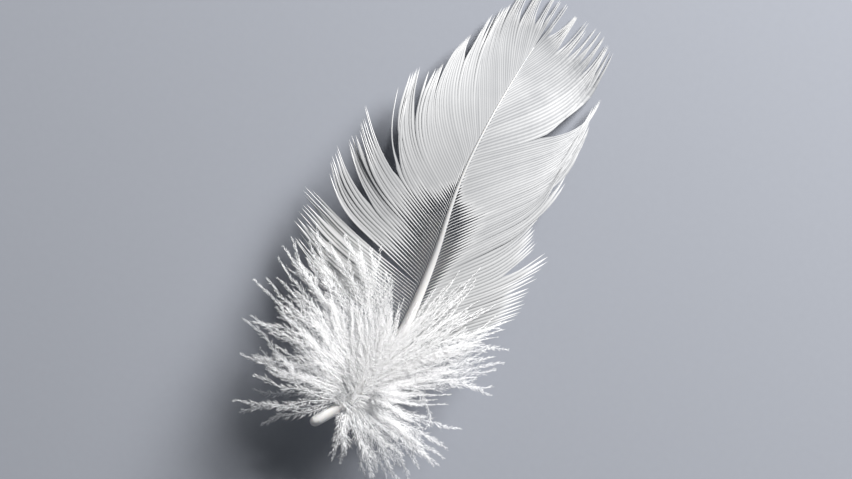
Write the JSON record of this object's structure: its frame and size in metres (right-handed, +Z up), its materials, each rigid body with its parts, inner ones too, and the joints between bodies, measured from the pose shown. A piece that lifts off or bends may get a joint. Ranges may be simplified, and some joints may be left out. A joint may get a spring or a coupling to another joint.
{
  "type": "feather",
  "caption": "White body feather lying convex side up: bent tapering shaft with a blunt quill, vanes of fine barbs parted into locks, and loose downy plumes around the foot.",
  "frame": {"origin": "middle of the feather's box, on the surface that it lies on", "axes": "+Y from the quill to the tip, +X to the right seen from above, +Z up out of the convex side"},
  "size_m": [0.0434, 0.0861, 0.0157],
  "materials": {
    "horn": "smooth cream-white keratin, faintly translucent and satin, like thin horn",
    "vane": "white keratin barbs side by side, soft sheen along the barbs",
    "down": "fluffy bright white down, matt"
  },
  "bodies": {
    "root": {"shaft": "horn", "vane_left": "vane", "vane_right": "vane", "down_left": "down", "down_right": "down"}
  },
  "joints": []
}
